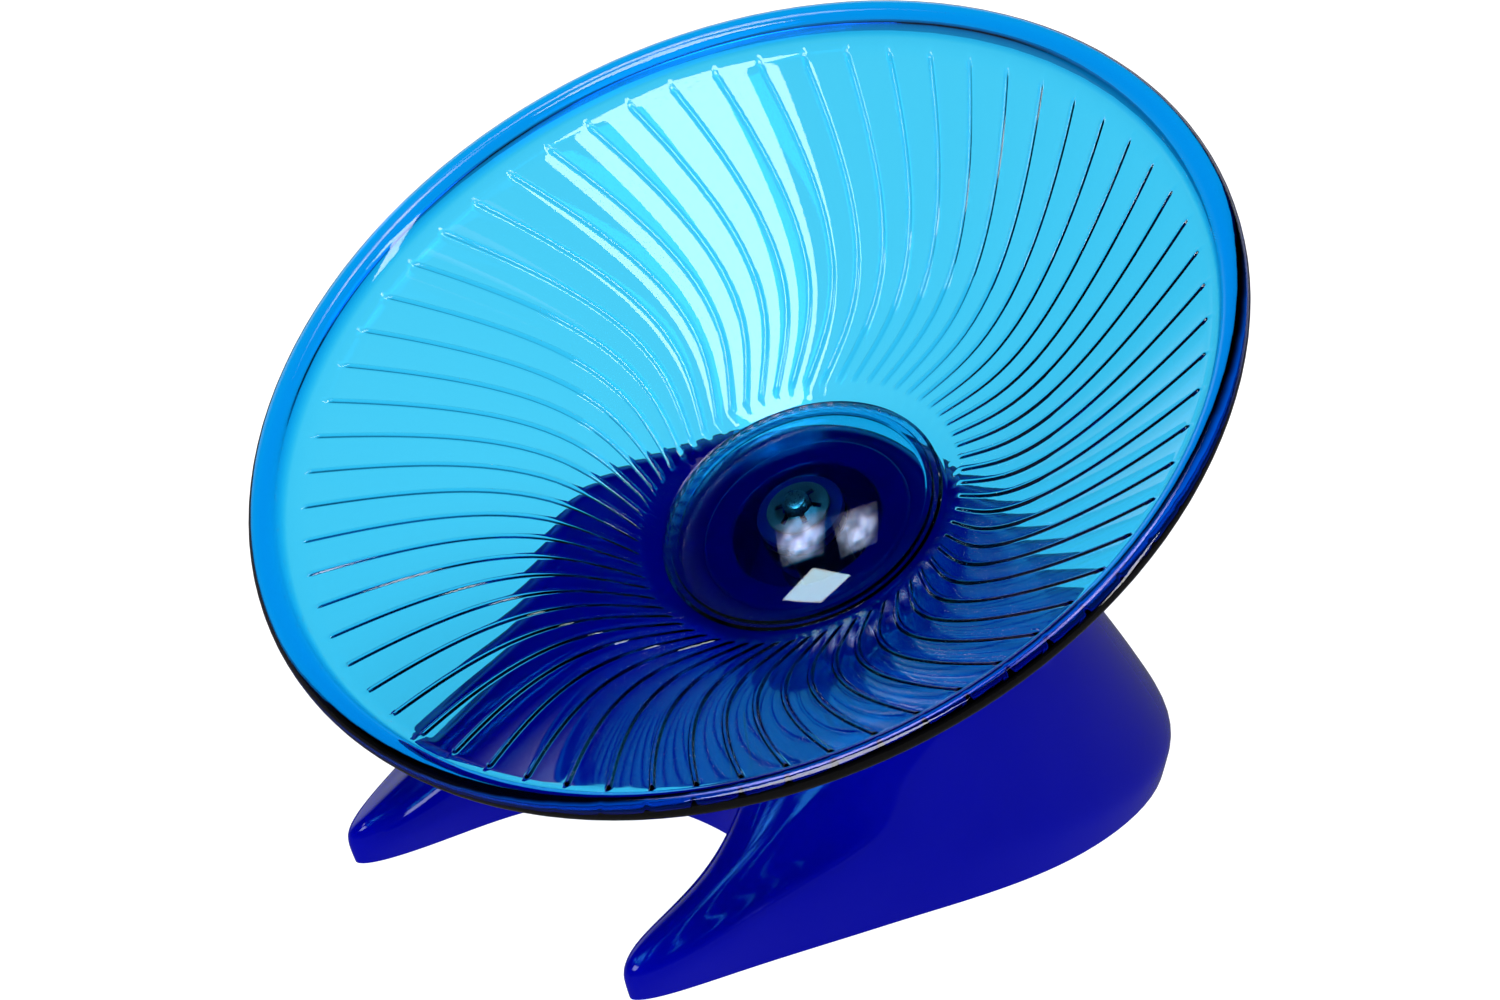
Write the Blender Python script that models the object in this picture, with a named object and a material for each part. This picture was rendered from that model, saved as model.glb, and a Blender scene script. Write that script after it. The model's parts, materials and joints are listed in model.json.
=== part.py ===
"""Flying saucer exercise wheel for a small pet: a tilted, ribbed saucer that spins on a low stand.

The stand rests on the floor with its two legs towards -Y. The saucer turns about an axle that
leans towards -Y, and every piece on the axle is modelled about the local Z axis of one of two
empties that share the axle's place and tilt. Lengths are in metres.
"""

import math

import bmesh
import bpy
from mathutils import Matrix, Vector

MM = 0.001

# Saucer, measured along and around the axle from the top of its hub floor
SAUCER_DIAMETER = 190.5 * MM
SAUCER_TILT = math.radians(28.15)
CONE_SLOPE = math.radians(26.85)
HUB_FLOOR_RADIUS = 27.2 * MM
SAUCER_WALL = 1.8 * MM
RIM_WIDTH = 5.7 * MM
RIM_THICKNESS = 3.4 * MM
RIM_JOIN_ANGLE = math.radians(148)
RIM_ARC_STEPS = 7

# Ribs on the running surface
RIB_COUNT = 64
RIB_HUB_CLEARANCE = 3.2 * MM
RIB_RIM_CLEARANCE = 3.25 * MM
RIB_WIDTH = 1.1 * MM
RIB_HEIGHT = 0.6 * MM
RIB_END_TAPER = 1.3 * MM
RIB_STATIONS = 6
RIB_BOW_POINT_SHARES = ((0.352, -0.0073), (0.479, -0.081), (0.562, -0.178), (1.0, 0.0034))
RIB_FIRST_ANGLE = math.radians(6.1)

# Hub of the saucer
SLEEVE_RADIUS = 8.0 * MM
SLEEVE_LENGTH = 11.9 * MM
SPIGOT_WALL = 1.5 * MM
SPIGOT_HEIGHT = 1.2 * MM

# Dome cap over the hub
DOME_HEIGHT = 8.3 * MM
DOME_WALL = 1.6 * MM
DOME_FOOT_HEIGHT = 1.2 * MM
DOME_ARC_STEPS = 6

# Axle, bush, washer and clip
AXLE_RADIUS = 2.5 * MM
AXLE_PROUD = 4.9 * MM
AXLE_CHAMFER = 0.5 * MM
AXLE_SEAT_DEPTH = 15.0 * MM
BUSH_WALL = 1.9 * MM
BUSH_FLANGE_RADIUS = 8.2 * MM
BUSH_FLANGE_THICKNESS = 1.5 * MM
BUSH_END_PROUD = 0.5 * MM
WASHER_RADIUS = 7.2 * MM
WASHER_THICKNESS = 1.0 * MM
CLIP_RADIUS = 6.0 * MM
CLIP_THICKNESS = 0.6 * MM
CLIP_TOOTH_COUNT = 6
CLIP_SLOT_WIDTH = 1.0 * MM
CLIP_SLOT_REACH = 1.7 * MM

# Stand, with places measured from the point on the floor under the hub
HUB_HEIGHT = 55.3 * MM
STAND_WIDTH = 112.0 * MM
STAND_BACK_REACH = 72.0 * MM
STAND_LEG_REACH = 83.0 * MM
STAND_WALL = 2.4 * MM
SKIRT_HEIGHT = 13.0 * MM
BELLY_SHARE = 0.6
TOE_TUCK = 3.0 * MM
CREST_DROP = 1.4 * MM
BACK_FALL = 12.0 * MM
SHELF_SHARE = 0.3
PLATFORM_RADIUS = 23.0 * MM
PLATFORM_DROP = 4.2 * MM
STAND_SMOOTHING = 1

# Well for the hub sleeve in the top of the stand, and the seat of the axle under it
WELL_RADIUS = 14.1 * MM
WELL_LIP_RADIUS = 19.5 * MM
WELL_LIP_DROP = 2.9 * MM
WELL_LIP_DEPTH = 2.5 * MM
WELL_WALL = 2.4 * MM
SEAT_WALL = 3.6 * MM
GUSSET_PLATES = 2
GUSSET_THICKNESS = 2.2 * MM
GUSSET_HEIGHT = 10.0 * MM
GUSSET_EDGE = 1.5 * MM

FIT_GAP = 0.3 * MM
CUT_MARGIN = 6.0 * MM
TURNING_STEPS = 48
SMALL_TURNING_STEPS = 32
SMOOTH_ANGLE = math.radians(35)

# The stand's columns from the back round the leg to the crotch between the legs. Each row gives
# the outline's x and y, the skirt's height, the flank's inset and height, and the top edge's x,
# y and fall, all as shares of the stand's own sizes.
STAND_COLUMN_SHARES = (
    (0.00, 1.027, 0.62, 0.68, 0.80, 0.00, 0.420, 0.72),
    (0.52, 0.955, 0.62, 0.66, 0.78, 0.375, 0.380, 0.80),
    (0.90, 0.680, 0.60, 0.52, 0.62, 0.68, 0.250, 0.72),
    (1.03, 0.240, 0.80, 0.40, 0.62, 0.81, 0.055, 0.37),
    (0.975, -0.080, 1.10, 0.15, 0.50, 0.885, -0.090, 0.08),
    (0.92, -0.245, 1.60, 0.06, 0.40, 0.89, -0.205, 0.00),
    (0.87, -0.410, 1.50, 0.42, 0.10, 0.75, -0.375, 0.48),
    (0.79, -0.640, 1.10, 0.42, 0.12, 0.63, -0.600, 0.56),
    (0.735, -0.880, 0.66, 0.38, 0.22, 0.635, -0.830, 0.40),
    (0.64, -0.995, 0.50, 0.20, 0.50, 0.61, -0.945, 0.24),
    (0.54, -0.910, 0.50, 0.25, 0.60, 0.58, -0.840, 0.44),
    (0.515, -0.750, 0.50, 0.30, 0.60, 0.565, -0.680, 0.59),
    (0.49, -0.600, 0.70, 0.30, 0.60, 0.53, -0.560, 0.50),
    (0.43, -0.440, 1.00, 0.35, 0.60, 0.38, -0.400, 0.15),
    (0.26, -0.315, 1.00, 0.40, 0.60, 0.21, -0.325, 0.00),
    (0.00, -0.285, 1.00, 0.40, 0.60, 0.00, -0.300, 0.00),
)
LEG_TIP_COUNT = min(range(len(STAND_COLUMN_SHARES)), key=lambda k: STAND_COLUMN_SHARES[k][1])
LEG_PAIR_COUNT = 4

CLEAR_BLUE = (0.05, 0.42, 0.95, 1.0)
DEEP_BLUE = (0.0, 0.02, 0.42, 1.0)
STEEL = (0.70, 0.71, 0.73, 1.0)
NYLON = (0.86, 0.86, 0.84, 1.0)
BLUE_NYLON = (0.0, 0.02, 0.30, 1.0)

# Places that follow from the sizes above
RIM_CENTRE_RADIUS = SAUCER_DIAMETER / 2 - RIM_WIDTH / 2
RIB_INNER_RADIUS = HUB_FLOOR_RADIUS + RIB_HUB_CLEARANCE
RIB_OUTER_RADIUS = RIM_CENTRE_RADIUS - RIM_WIDTH / 2 - RIB_RIM_CLEARANCE
WALL_RISE = SAUCER_WALL / math.cos(CONE_SLOPE)
BUSH_RADIUS = AXLE_RADIUS + FIT_GAP + BUSH_WALL
WASHER_TOP = -SLEEVE_LENGTH - BUSH_END_PROUD - FIT_GAP
WELL_FLOOR = WASHER_TOP - WASHER_THICKNESS - FIT_GAP
WELL_BASE = WELL_FLOOR - WELL_WALL
SEAT_FLOOR = WELL_FLOOR - AXLE_SEAT_DEPTH
SEAT_RADIUS = AXLE_RADIUS + FIT_GAP
DOME_RADIUS = HUB_FLOOR_RADIUS - FIT_GAP
RIM_HEIGHT = (RIM_CENTRE_RADIUS - HUB_FLOOR_RADIUS) * math.tan(CONE_SLOPE)
RIM_FRONT = (math.cos(SAUCER_TILT) * RIM_CENTRE_RADIUS + math.sin(SAUCER_TILT) * RIM_HEIGHT
             + math.hypot(math.cos(SAUCER_TILT) * RIM_WIDTH, math.sin(SAUCER_TILT) * RIM_THICKNESS) / 2)
HUB_Y = (RIM_FRONT - STAND_BACK_REACH) / 2


def clear_scene():
    """Remove every object of the scene."""
    for item in list(bpy.data.objects):
        bpy.data.objects.remove(item, do_unlink=True)


def make_material(name, colour, roughness, metallic=0.0, transmission=0.0):
    """Return a Principled material."""
    material = bpy.data.materials.new(name)
    material.use_nodes = True
    shader = material.node_tree.nodes["Principled BSDF"]
    shader.inputs["Base Color"].default_value = colour
    shader.inputs["Roughness"].default_value = roughness
    shader.inputs["Metallic"].default_value = metallic
    shader.inputs["Transmission Weight"].default_value = transmission
    return material


def make_object(name, bm, material=None, parent=None):
    """Turn a bmesh into a named object with its faces pointing out."""
    bmesh.ops.recalc_face_normals(bm, faces=bm.faces)
    mesh = bpy.data.meshes.new(name)
    bm.to_mesh(mesh)
    bm.free()
    item = bpy.data.objects.new(name, mesh)
    bpy.context.collection.objects.link(item)
    if material:
        mesh.materials.append(material)
    mesh.shade_smooth()
    mesh.set_sharp_from_angle(angle=SMOOTH_ANGLE)
    item.parent = parent
    return item


def make_empty(name, place, tilt):
    """Return an empty whose local Z is the axle's line."""
    item = bpy.data.objects.new(name, None)
    bpy.context.collection.objects.link(item)
    item.location = place
    item.rotation_euler = (tilt, 0, 0)
    return item


def combine(target, tool, operation):
    """Join a tool to a target or cut it away, with a Boolean that stays live."""
    tool.hide_render = True
    tool.display_type = "WIRE"
    change = target.modifiers.new(tool.name, "BOOLEAN")
    change.operation = operation
    change.solver = "EXACT"
    change.use_self = True
    change.object = tool


def add_ring(bm, radius, height, steps, offset=0.0):
    """Add a circle of vertices about local Z."""
    angles = [offset + math.tau * k / steps for k in range(steps)]
    return [bm.verts.new((radius * math.cos(a), radius * math.sin(a), height)) for a in angles]


def join_rings(bm, first, second):
    """Join two rings of as many vertices with faces."""
    for k in range(len(first)):
        after = (k + 1) % len(first)
        bm.faces.new((first[k], first[after], second[after], second[k]))


def turned(name, profile, material, parent, closed=True, steps=SMALL_TURNING_STEPS):
    """Turn a profile of (radius, height) points about local Z.

    A closed profile goes round a bore; an open one starts and ends on the axis.
    """
    bm = bmesh.new()
    if closed:
        rings = [add_ring(bm, radius, height, steps) for radius, height in profile]
        for k, ring in enumerate(rings):
            join_rings(bm, ring, rings[(k + 1) % len(rings)])
    else:
        rings = [add_ring(bm, radius, height, steps) for radius, height in profile[1:-1]]
        for near, far in zip(rings, rings[1:]):
            join_rings(bm, near, far)
        bm.faces.new(rings[0])
        bm.faces.new(rings[-1])
    return make_object(name, bm, material, parent)


def ellipse_arc(centre, half_width, half_height, start, stop, steps):
    """Return points on an ellipse in the (radius, height) plane."""
    points = []
    for k in range(steps + 1):
        angle = start + (stop - start) * k / steps
        points.append((centre[0] + half_width * math.cos(angle), centre[1] + half_height * math.sin(angle)))
    return points


def cone_height(radius):
    """Return the running surface's height above the hub floor."""
    return (radius - HUB_FLOOR_RADIUS) * math.tan(CONE_SLOPE)


def rib_bow(share):
    """Return a rib's radius and its angle from its outer end, at a share of its length."""
    p0, p1, p2, p3 = (Vector(point) for point in RIB_BOW_POINT_SHARES)
    rest = 1 - share
    point = rest ** 3 * p0 + 3 * rest ** 2 * share * p1 + 3 * rest * share ** 2 * p2 + share ** 3 * p3
    return point.length, math.atan2(point.y, point.x)


def taper_place(end, inward):
    """Return the place along a rib where its end's slope reaches full height."""
    share = RIB_END_TAPER / abs(inward[0] - end[0])
    return tuple(a + (b - a) * share for a, b in zip(end, inward))


def rib_stations():
    """Return (radius, angle, height share) for each place along a rib, with its tapered ends."""
    first, last = rib_bow(0)[0], rib_bow(1)[0]
    run = RIB_OUTER_RADIUS - RIB_INNER_RADIUS
    line = []
    for k in range(RIB_STATIONS + 1):
        share, angle = rib_bow(k / RIB_STATIONS)
        line.append((RIB_INNER_RADIUS + run * (share - first) / (last - first), angle))
    inner_end = taper_place(line[0], line[1])
    outer_end = taper_place(line[-1], line[-2])
    crest = [inner_end] + line[1:-1] + [outer_end]
    return [(*line[0], 0.0)] + [(*place, 1.0) for place in crest] + [(*line[-1], 0.0)]


def add_rib_row(bm, radius, angle, height):
    """Add the three vertices of every rib at one radius: left foot, crest and right foot."""
    half = RIB_WIDTH / 2 / radius
    ground = cone_height(radius)
    row = []
    for k in range(RIB_COUNT):
        line = RIB_FIRST_ANGLE + math.tau * k / RIB_COUNT + angle
        for turn, rise in ((-half, 0.0), (0.0, height), (half, 0.0)):
            place = (radius * math.cos(line + turn), radius * math.sin(line + turn), ground + rise)
            row.append(bm.verts.new(place))
    return row


def join_rib_end(bm, ring, row):
    """Join a plain ring, with its vertices half way between the ribs, to a row of ribs."""
    for k in range(RIB_COUNT):
        left, crest, right = row[3 * k:3 * k + 3]
        next_left = row[(3 * k + 3) % len(row)]
        near, far = ring[k], ring[(k + 1) % RIB_COUNT]
        for corners in ((near, crest, left), (near, far, crest), (far, right, crest),
                        (far, next_left, right)):
            bm.faces.new(corners)


def build_dish(material, parent):
    """Build the ribbed dish with its rim, hub floor, spigot and sleeve in one moulding."""
    bore = BUSH_RADIUS + FIT_GAP
    spigot_radius = DOME_RADIUS - DOME_WALL - FIT_GAP
    under_corner = HUB_FLOOR_RADIUS + (WALL_RISE - SAUCER_WALL) / math.tan(CONE_SLOPE)
    hub = [(bore, 0), (spigot_radius - SPIGOT_WALL, 0), (spigot_radius - SPIGOT_WALL, SPIGOT_HEIGHT),
           (spigot_radius, SPIGOT_HEIGHT), (spigot_radius, 0), (HUB_FLOOR_RADIUS, 0)]
    edge = ellipse_arc((RIM_CENTRE_RADIUS, RIM_HEIGHT), RIM_WIDTH / 2, RIM_THICKNESS / 2,
                       RIM_JOIN_ANGLE, -math.pi / 2, RIM_ARC_STEPS)
    base = [(under_corner, -SAUCER_WALL), (SLEEVE_RADIUS, -SAUCER_WALL),
            (SLEEVE_RADIUS, -SLEEVE_LENGTH), (bore, -SLEEVE_LENGTH)]
    bm = bmesh.new()
    offset = RIB_FIRST_ANGLE - math.pi / RIB_COUNT
    hub_rings = [add_ring(bm, radius, height, RIB_COUNT, offset) for radius, height in hub]
    outer_rings = [add_ring(bm, radius, height, RIB_COUNT, offset) for radius, height in edge + base]
    rib_rows = [add_rib_row(bm, radius, angle, RIB_HEIGHT * share) for radius, angle, share in rib_stations()]
    for rings in (hub_rings, rib_rows, outer_rings + [hub_rings[0]]):
        for near, far in zip(rings, rings[1:]):
            join_rings(bm, near, far)
    join_rib_end(bm, hub_rings[-1], rib_rows[0])
    join_rib_end(bm, outer_rings[0], rib_rows[-1])
    return make_object("saucer_dish", bm, material, parent)


def close_on_axis(bm, ring, height):
    """Close a ring with a fan of triangles to a point on the axis."""
    tip = bm.verts.new((0, 0, height))
    for k, vert in enumerate(ring):
        bm.faces.new((vert, ring[(k + 1) % len(ring)], tip))


def build_dome_cap(material, parent):
    """Build the low clear dome that closes the hub, standing on the hub floor round its spigot."""
    spring = FIT_GAP + DOME_FOOT_HEIGHT
    rise = DOME_HEIGHT - spring
    inner_radius = DOME_RADIUS - DOME_WALL
    outer = ellipse_arc((0, spring), DOME_RADIUS, rise, 0, math.pi / 2, DOME_ARC_STEPS)
    inner = ellipse_arc((0, spring), inner_radius, rise - DOME_WALL, math.pi / 2, 0, DOME_ARC_STEPS)
    bm = bmesh.new()
    outer_rings = [add_ring(bm, radius, height, TURNING_STEPS)
                   for radius, height in [(DOME_RADIUS, FIT_GAP)] + outer[:-1]]
    inner_rings = [add_ring(bm, radius, height, TURNING_STEPS)
                   for radius, height in inner[1:] + [(inner_radius, FIT_GAP)]]
    rings = inner_rings + outer_rings
    for near, far in zip(rings, rings[1:]):
        join_rings(bm, near, far)
    close_on_axis(bm, rings[0], inner[0][1])
    close_on_axis(bm, rings[-1], outer[-1][1])
    return make_object("dome_cap", bm, material, parent)


def build_axle(material, parent):
    """Build the steel axle pin, chamfered at both ends."""
    bottom = SEAT_FLOOR + FIT_GAP
    profile = [(0, bottom), (AXLE_RADIUS - AXLE_CHAMFER, bottom), (AXLE_RADIUS, bottom + AXLE_CHAMFER),
               (AXLE_RADIUS, AXLE_PROUD - AXLE_CHAMFER), (AXLE_RADIUS - AXLE_CHAMFER, AXLE_PROUD),
               (0, AXLE_PROUD)]
    return turned("axle_pin", profile, material, parent, closed=False)


def build_bush(material, parent):
    """Build the flanged bush that lines the hub sleeve."""
    bore = AXLE_RADIUS + FIT_GAP
    flange_top = FIT_GAP + BUSH_FLANGE_THICKNESS
    bottom = -SLEEVE_LENGTH - BUSH_END_PROUD
    profile = [(bore, flange_top), (BUSH_FLANGE_RADIUS, flange_top), (BUSH_FLANGE_RADIUS, FIT_GAP),
               (BUSH_RADIUS, FIT_GAP), (BUSH_RADIUS, bottom), (bore, bottom)]
    return turned("hub_bush", profile, material, parent)


def build_washer(material, parent):
    """Build the thrust washer on the floor of the stand's well."""
    bore = AXLE_RADIUS + FIT_GAP
    bottom = WASHER_TOP - WASHER_THICKNESS
    profile = [(bore, WASHER_TOP), (WASHER_RADIUS, WASHER_TOP), (WASHER_RADIUS, bottom), (bore, bottom)]
    return turned("thrust_washer", profile, material, parent)


def build_clip(material, parent):
    """Build the toothed push-on clip that keeps the saucer on its axle."""
    bottom = FIT_GAP + BUSH_FLANGE_THICKNESS + FIT_GAP
    bore = AXLE_RADIUS + FIT_GAP
    slot_radius = bore + CLIP_SLOT_REACH
    pitch = math.tau / CLIP_TOOTH_COUNT
    bore_turn = CLIP_SLOT_WIDTH / 2 / bore
    slot_turn = CLIP_SLOT_WIDTH / 2 / slot_radius
    inner = []
    for k in range(CLIP_TOOTH_COUNT):
        middle = pitch * k
        inner += [(bore, middle - bore_turn), (slot_radius, middle - slot_turn),
                  (slot_radius, middle + slot_turn), (bore, middle + bore_turn),
                  (bore, middle + pitch / 2)]
    outer = [(CLIP_RADIUS, angle) for _, angle in inner]
    bm = bmesh.new()
    loops = []
    for outline, height in ((inner, bottom), (inner, bottom + CLIP_THICKNESS),
                            (outer, bottom + CLIP_THICKNESS), (outer, bottom)):
        loops.append([bm.verts.new((r * math.cos(a), r * math.sin(a), height)) for r, a in outline])
    for k, loop in enumerate(loops):
        join_rings(bm, loop, loops[(k + 1) % len(loops)])
    return make_object("retaining_clip", bm, material, parent)


def plane_height(along, drop):
    """Return the height, at a place along Y from the hub, of a plane dropped below the hub floor."""
    return HUB_HEIGHT + (along * math.sin(SAUCER_TILT) - drop) / math.cos(SAUCER_TILT)


def stand_place(side, along):
    """Return a place on the floor from shares of the stand's half width and its reach."""
    return Vector((side * STAND_WIDTH / 2, along * (STAND_BACK_REACH if along > 0 else STAND_LEG_REACH), 0))


def stand_column(shares):
    """Return one column of the stand's cage, from its belly near the floor to the top edge."""
    side, along, skirt, flank_in, flank_up, top_side, top_along, fall = shares
    outline = stand_place(side, along)
    top = stand_place(top_side, top_along)
    top.z = plane_height(top.y, CREST_DROP + BACK_FALL * fall)
    low = outline + Vector((0, 0, SKIRT_HEIGHT * skirt))
    belly = outline.lerp(low, BELLY_SHARE)
    flank = outline.lerp(top, flank_in)
    flank.z = low.z + (top.z - low.z) * flank_up
    return [belly, low, flank, top]


def tucked_place(before, here, after):
    """Return the place under the floor of an outline point, tucked in across the outline."""
    run = after - before
    inward = Vector((run.y, -run.x, 0)).normalized() * TOE_TUCK
    return Vector((here.x, here.y, 0)) + inward - Vector((0, 0, CUT_MARGIN))


def stand_cage():
    """Return the cage's columns all the way round, mirrored from the half that is described."""
    half = [stand_column(shares) for shares in STAND_COLUMN_SHARES]
    columns = half + [[Vector((-p.x, p.y, p.z)) for p in column] for column in half[-2:0:-1]]
    feet = []
    for k, column in enumerate(columns):
        after = columns[(k + 1) % len(columns)]
        feet.append(tucked_place(columns[k - 1][0], column[0], after[0]))
    return [[foot] + column for foot, column in zip(feet, columns)]


def platform_ring(radius, count):
    """Return points evenly round a circle on the tilted platform, from the back clockwise."""
    turn = Matrix.Rotation(SAUCER_TILT, 3, "X")
    points = []
    for k in range(count):
        angle = math.pi / 2 - math.tau * k / count
        local = Vector((radius * math.cos(angle), radius * math.sin(angle), -PLATFORM_DROP))
        points.append(turn @ local + Vector((0, 0, HUB_HEIGHT)))
    return points


def close_legs(bm, top):
    """Close the top of both legs across their columns, and return the loop that stays open."""
    taken = set()
    for tip in (LEG_TIP_COUNT, len(top) - LEG_TIP_COUNT):
        bm.faces.new((top[tip - 1], top[tip], top[tip + 1]))
        for k in range(1, LEG_PAIR_COUNT):
            bm.faces.new((top[tip - k - 1], top[tip - k], top[tip + k], top[tip + k + 1]))
        taken.update(range(tip - LEG_PAIR_COUNT + 1, tip + LEG_PAIR_COUNT))
    return [vert for k, vert in enumerate(top) if k not in taken]


def build_stand_skin(material):
    """Build the stand's smoothed outer skin, open below the floor, and give it its wall."""
    columns = stand_cage()
    bm = bmesh.new()
    rows = [[bm.verts.new(column[j]) for column in columns] for j in range(len(columns[0]))]
    for near, far in zip(rows, rows[1:]):
        join_rings(bm, near, far)
    edge = close_legs(bm, rows[-1])
    platform = platform_ring(PLATFORM_RADIUS, len(edge))
    shelf = [bm.verts.new(vert.co.lerp(point, SHELF_SHARE)) for vert, point in zip(edge, platform)]
    rim = [bm.verts.new(point) for point in platform]
    core = [bm.verts.new(point) for point in platform_ring(WELL_RADIUS, len(edge))]
    for near, far in ((edge, shelf), (shelf, rim), (rim, core)):
        join_rings(bm, near, far)
    bm.faces.new(core)
    skin = make_object("stand", bm, material)
    skin.location = (0, HUB_Y, 0)
    smooth = skin.modifiers.new("smooth", "SUBSURF")
    smooth.levels = STAND_SMOOTHING
    smooth.render_levels = STAND_SMOOTHING
    wall = skin.modifiers.new("wall", "SOLIDIFY")
    wall.thickness = STAND_WALL
    wall.offset = -1
    wall.use_even_offset = True
    return skin


def build_gusset_plate(name, angle, parent):
    """Build a plate through the axle's seat tube that stiffens it under the well on both sides."""
    reach = WELL_RADIUS
    foot = SEAT_RADIUS + SEAT_WALL
    top = WELL_BASE + WELL_WALL / 2
    low = WELL_BASE - GUSSET_HEIGHT
    outline = [(reach, top), (-reach, top), (-reach, WELL_BASE - GUSSET_EDGE), (-foot, low),
               (foot, low), (reach, WELL_BASE - GUSSET_EDGE)]
    half = GUSSET_THICKNESS / 2
    bm = bmesh.new()
    sides = [[bm.verts.new((x, y, z)) for x, z in outline] for y in (-half, half)]
    join_rings(bm, *sides)
    for side in sides:
        bm.faces.new(side)
    plate = make_object(name, bm, None, parent)
    plate.rotation_euler = (0, 0, angle)
    return plate


def build_floor_cutter():
    """Build the block that cuts the stand flat where it meets the floor."""
    bm = bmesh.new()
    bmesh.ops.create_cube(bm, size=1)
    block = make_object("floor_cutter", bm)
    block.data.transform(Matrix.Diagonal((2 * STAND_WIDTH, 2 * (STAND_BACK_REACH + STAND_LEG_REACH),
                                          2 * CUT_MARGIN, 1)))
    block.location = (0, HUB_Y, -CUT_MARGIN)
    return block


def build_stand(material, parent):
    """Build the moulded stand: a hollow shell with a well for the hub and a seat for the axle."""
    stand = build_stand_skin(material)
    seat_outer = SEAT_RADIUS + SEAT_WALL
    cup_outer = WELL_RADIUS + WELL_WALL
    lip_base = -WELL_LIP_DROP - WELL_LIP_DEPTH
    boss = turned("well_boss", [(0, SEAT_FLOOR - WELL_WALL), (seat_outer, SEAT_FLOOR - WELL_WALL),
                                (seat_outer, WELL_BASE), (cup_outer, WELL_BASE), (cup_outer, lip_base),
                                (WELL_LIP_RADIUS, lip_base), (WELL_LIP_RADIUS, -WELL_LIP_DROP),
                                (0, -WELL_LIP_DROP)],
                  None, parent, closed=False, steps=TURNING_STEPS)
    combine(stand, boss, "UNION")
    for k in range(GUSSET_PLATES):
        plate = build_gusset_plate(f"gusset_plate_{k + 1}", math.pi * (k + 0.5) / GUSSET_PLATES, parent)
        combine(stand, plate, "UNION")
    well = turned("well_cutter", [(0, SEAT_FLOOR), (SEAT_RADIUS, SEAT_FLOOR), (SEAT_RADIUS, WELL_FLOOR),
                                  (WELL_RADIUS, WELL_FLOOR), (WELL_RADIUS, CUT_MARGIN), (0, CUT_MARGIN)],
                  None, parent, closed=False, steps=TURNING_STEPS)
    combine(stand, well, "DIFFERENCE")
    combine(stand, build_floor_cutter(), "DIFFERENCE")
    return stand


def main():
    """Build the whole wheel."""
    clear_scene()
    clear = make_material("clear_blue_plastic", CLEAR_BLUE, 0.08, transmission=0.6)
    blue = make_material("blue_plastic", DEEP_BLUE, 0.18)
    steel = make_material("steel", STEEL, 0.25, metallic=1.0)
    nylon = make_material("nylon", NYLON, 0.45)
    hub_place = (0, HUB_Y, HUB_HEIGHT)
    axle_seat = make_empty("axle_seat", hub_place, SAUCER_TILT)
    saucer = make_empty("saucer_hub", hub_place, SAUCER_TILT)
    build_stand(blue, axle_seat)
    build_axle(steel, axle_seat)
    build_washer(nylon, axle_seat)
    build_clip(steel, axle_seat)
    build_dish(clear, saucer)
    build_bush(make_material("blue_nylon", BLUE_NYLON, 0.45), saucer)
    build_dome_cap(clear, saucer)


main()
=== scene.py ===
"""Looks of the flying saucer exercise wheel: a clear ribbed saucer that spins on a blue stand.

Every piece on the axle is made about the local Z axis of the hub, whose origin is the top of the
saucer's hub floor, and is then moved to its place. Named sizes are in millimetres.
"""

import json
import logging
import math
from collections.abc import Callable, Sequence
from dataclasses import dataclass
from enum import Enum

import bmesh
import bpy
from bpy.types import Material, Mesh, Node, NodeSocket, NodeTree, Object
from mathutils import Matrix, Vector


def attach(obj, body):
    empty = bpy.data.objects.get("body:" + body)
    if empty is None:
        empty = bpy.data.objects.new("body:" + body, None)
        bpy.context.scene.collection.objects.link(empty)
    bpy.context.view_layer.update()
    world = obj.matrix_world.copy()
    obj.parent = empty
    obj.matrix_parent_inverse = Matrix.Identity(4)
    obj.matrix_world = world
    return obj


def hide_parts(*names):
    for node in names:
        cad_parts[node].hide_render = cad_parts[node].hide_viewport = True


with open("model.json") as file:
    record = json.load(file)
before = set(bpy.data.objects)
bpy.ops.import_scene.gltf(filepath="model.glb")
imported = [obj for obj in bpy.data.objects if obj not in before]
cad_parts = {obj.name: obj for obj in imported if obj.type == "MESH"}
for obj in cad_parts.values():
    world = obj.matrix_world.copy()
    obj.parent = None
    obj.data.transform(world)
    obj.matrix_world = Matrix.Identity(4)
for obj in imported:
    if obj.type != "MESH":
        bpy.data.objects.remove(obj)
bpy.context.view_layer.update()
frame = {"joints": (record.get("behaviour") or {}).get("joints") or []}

MM = 0.001
LOG = logging.getLogger("saucer_wheel")
Point = tuple[float, float]
Ring = list[bmesh.types.BMVert]
WHITE = (1.0, 1.0, 1.0, 1.0)
WHOLE = (0.0, 1.0)


class Body(Enum):
    """The two bodies that the axle joins."""

    STAND = "stand"
    SAUCER = "saucer"


class Slot(Enum):
    """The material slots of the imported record."""

    STAND_BLUE = "stand_blue"
    CLEAR_BLUE = "clear_blue"
    AXLE_STEEL = "axle_steel"
    NYLON = "nylon"
    BLUE_NYLON = "blue_nylon"


# Small tools


def linear(hex_colour: str, alpha: float = 1.0) -> tuple[float, float, float, float]:
    """Turn an sRGB hex colour into linear values.

    Args:
        hex_colour: the colour as "#RRGGBB".
        alpha: the fourth value.

    Returns:
        Red, green, blue and alpha, linear.
    """
    shares = [int(hex_colour[k:k + 2], 16) / 255 for k in (1, 3, 5)]
    red, green, blue = (c / 12.92 if c <= 0.04045 else ((c + 0.055) / 1.055) ** 2.4 for c in shares)
    return red, green, blue, alpha


def feed(tree: NodeTree, node: Node, links: dict) -> None:
    """Feed a node's inputs, each from another node's socket or with a fixed value."""
    for key, value in links.items():
        if isinstance(value, NodeSocket):
            tree.links.new(value, node.inputs[key])
        else:
            node.inputs[key].default_value = value


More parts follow.
